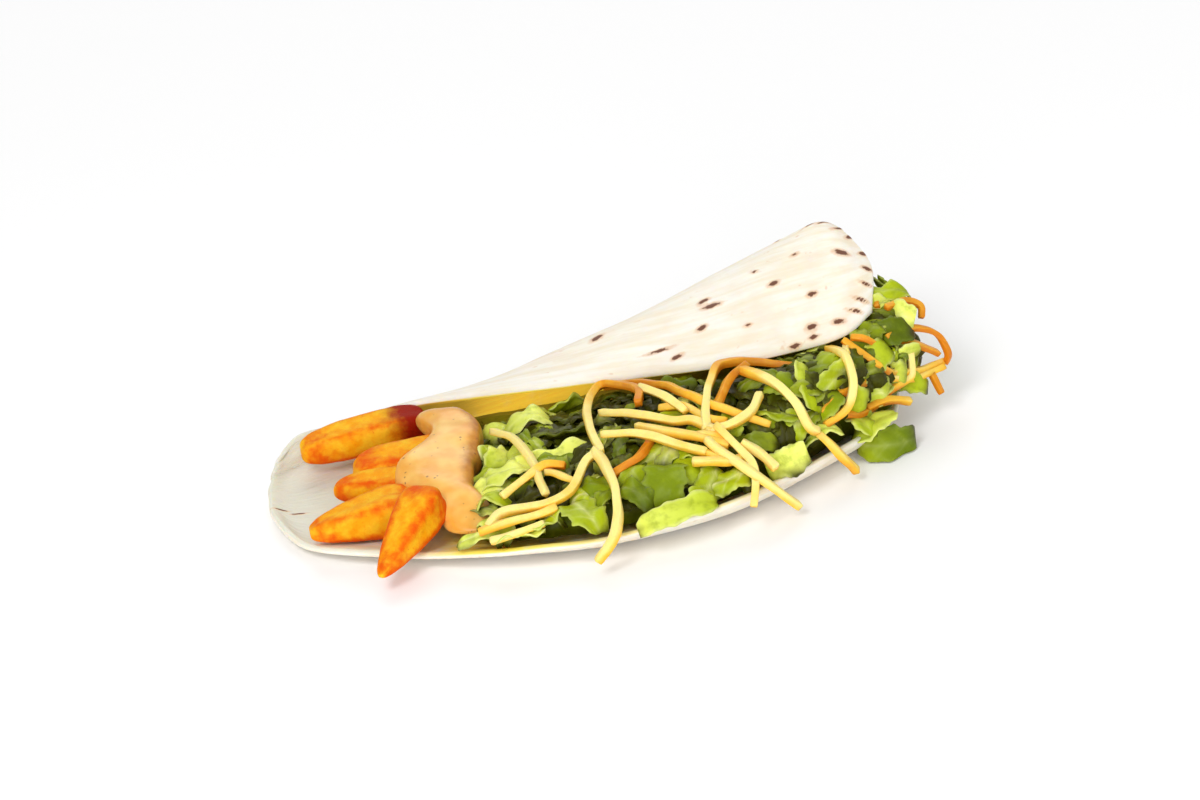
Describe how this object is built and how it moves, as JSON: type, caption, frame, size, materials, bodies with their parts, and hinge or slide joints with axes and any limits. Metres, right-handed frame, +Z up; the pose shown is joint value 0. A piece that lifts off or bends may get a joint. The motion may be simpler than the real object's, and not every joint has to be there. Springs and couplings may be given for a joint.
{
  "type": "potato soft taco",
  "caption": "Soft flour tortilla folded in half on its side, with fried potato wedges, creamy sauce, shredded lettuce and cheese.",
  "frame": {"origin": "bottom centre of the bounding box, on the plane that the taco lies on", "axes": "+X along the fold, from the narrow end with the potato wedges to the broad end with the lettuce; +Y from the open side to the fold; +Z up"},
  "size_m": [0.179, 0.1052, 0.0447],
  "materials": {
    "tortilla": "matt, with toasted brown spots",
    "potato": "fried, seasoned, slightly oily",
    "sauce": "glossy cream",
    "lettuce": "crisp leaf with shreds of yellow cheese"
  },
  "bodies": {
    "root": {"tortilla": "tortilla", "potato_wedge_1": "potato", "potato_wedge_2": "potato", "potato_wedge_3": "potato", "potato_wedge_4": "potato", "potato_wedge_5": "potato", "sauce": "sauce", "lettuce_cheese": "lettuce"}
  },
  "joints": []
}
